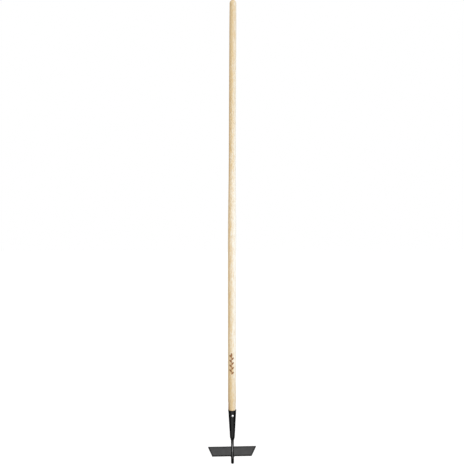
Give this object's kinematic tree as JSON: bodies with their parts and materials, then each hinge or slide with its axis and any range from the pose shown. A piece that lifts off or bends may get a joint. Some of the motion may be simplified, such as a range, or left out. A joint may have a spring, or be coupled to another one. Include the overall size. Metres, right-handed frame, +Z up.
{
  "type": "garden hoe",
  "caption": "Long-handled draw hoe: a round wooden pole in a rolled steel socket, a bent round-bar neck and a flat trapezoid blade.",
  "frame": {"origin": "on the handle's axis, 1.25 m above the lowest point of the neck, where a wall clip or tool rack grips the pole", "axes": "+Z up along the handle towards its domed top, +X along the blade's width, to the right as the picture shows it, +Y the way the blade reaches out, away from the picture's viewer"},
  "size_m": [0.1733, 0.1385, 1.5976],
  "materials": {
    "ash_wood": "sanded and clear varnished, pale and straight grained",
    "black_lacquer": "satin black lacquer over steel",
    "zinc_plate": "bright zinc plate"
  },
  "bodies": {
    "root": {"handle": "ash_wood", "socket": "black_lacquer", "socket_screw": "zinc_plate", "swan_neck": "black_lacquer", "blade": "black_lacquer", "socket_weld": "black_lacquer", "blade_weld_front": "black_lacquer", "blade_weld_left": "black_lacquer", "blade_weld_right": "black_lacquer"}
  },
  "joints": []
}
